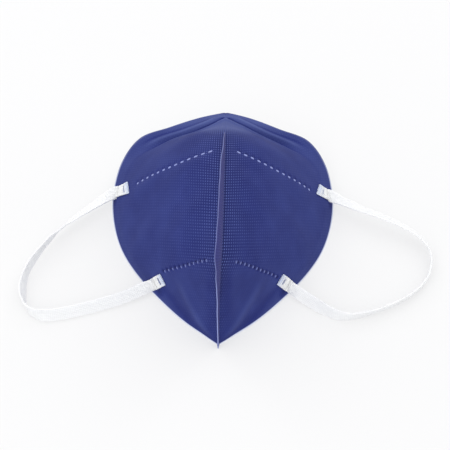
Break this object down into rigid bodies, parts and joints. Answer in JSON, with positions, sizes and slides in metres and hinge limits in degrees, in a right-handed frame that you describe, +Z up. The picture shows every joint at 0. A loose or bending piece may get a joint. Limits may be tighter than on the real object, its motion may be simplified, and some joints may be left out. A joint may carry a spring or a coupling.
{
  "type": "respirator mask",
  "caption": "Cup-shaped fold respirator mask of navy non-woven, with a welded front fin, a creased nose margin and flat elastic ear loops, lying open side down.",
  "frame": {"origin": "on the surface that the mask rests on, under the middle of the mask's box without its loose ear loops", "axes": "+Z up out of the surface, +Y from the chin to the nose, +X to the wearer's left; x = 0 is the middle plane of the mask, and the fold strays up to 1.2 mm from it to +X"},
  "size_m": [0.2059, 0.13, 0.0662],
  "materials": {
    "navy_spunbond": "matt spunbond non-woven with a fine grid of bond points",
    "welded_edge": "ultrasonically welded plies, slightly glazed",
    "white_elastic": "flat knitted elastic, matt"
  },
  "bodies": {
    "root": {"mask_body": "navy_spunbond", "centre_seam": "welded_edge", "left_ear_loop": "white_elastic", "right_ear_loop": "white_elastic", "upper_left_strap_end": "white_elastic", "lower_left_strap_end": "white_elastic", "upper_right_strap_end": "white_elastic", "lower_right_strap_end": "white_elastic"}
  },
  "joints": []
}
